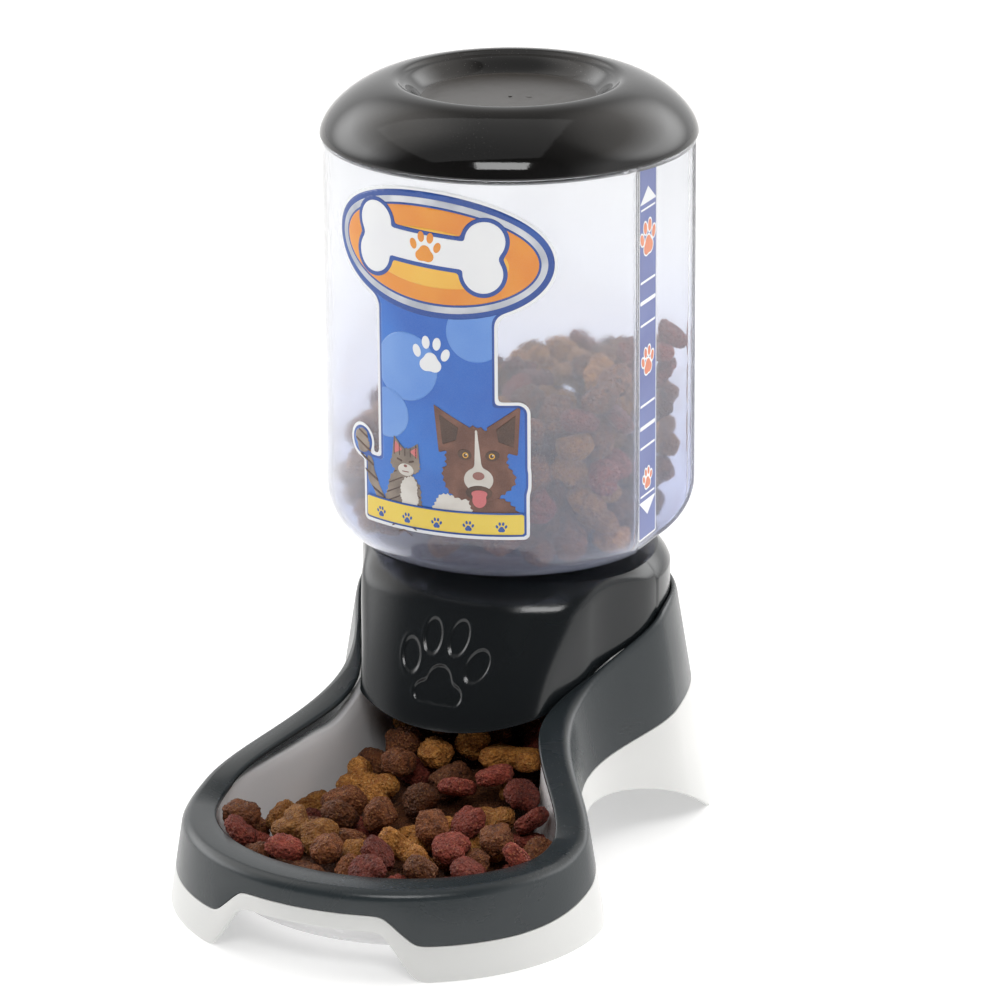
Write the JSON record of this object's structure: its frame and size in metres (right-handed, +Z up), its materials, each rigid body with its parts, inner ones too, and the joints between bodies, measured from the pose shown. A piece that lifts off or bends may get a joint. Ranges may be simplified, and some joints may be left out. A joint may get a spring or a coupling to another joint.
{
  "type": "gravity pet feeder",
  "caption": "Free-standing gravity pet feeder: a lidded clear container drops dry food through a hooded tower into an open bowl.",
  "frame": {"origin": "on the floor, in the middle of the object's box", "axes": "+Z up, +Y towards the back, +X to the right of someone facing the bowl"},
  "size_m": [0.191, 0.294, 0.3291],
  "materials": {
    "white_plastic": "white moulded plastic, satin gloss",
    "dark_plastic": "charcoal blue-grey moulded plastic, satin gloss",
    "lid_plastic": "black moulded plastic, high gloss",
    "clear_plastic": "clear blow-moulded plastic, slightly hazy",
    "label": "printed film sticker",
    "strip": "printed film strip",
    "soft_seal": "pale silicone",
    "foot_rubber": "dark rubber",
    "screw_steel": "zinc-plated"
  },
  "bodies": {
    "base": {"base_skirt": "white_plastic", "foot_pads": "foot_rubber", "bowl_tray": "white_plastic", "rim_shell": "dark_plastic", "shell_screws": "screw_steel", "hood": "dark_plastic", "hood_screws": "screw_steel"},
    "container": {"container": "clear_plastic", "front_label": "label", "level_strip": "strip"},
    "lid": {"lid": "lid_plastic", "lid_seal": "soft_seal"}
  },
  "joints": [
    {"name": "container_lift", "type": "slide", "parent": "base", "child": "container", "axis": [0, 0, 1], "range_m": [0, 0.08]},
    {"name": "lid_lift", "type": "slide", "parent": "container", "child": "lid", "axis": [0, 0, 1], "range_m": [0, 0.06]}
  ]
}
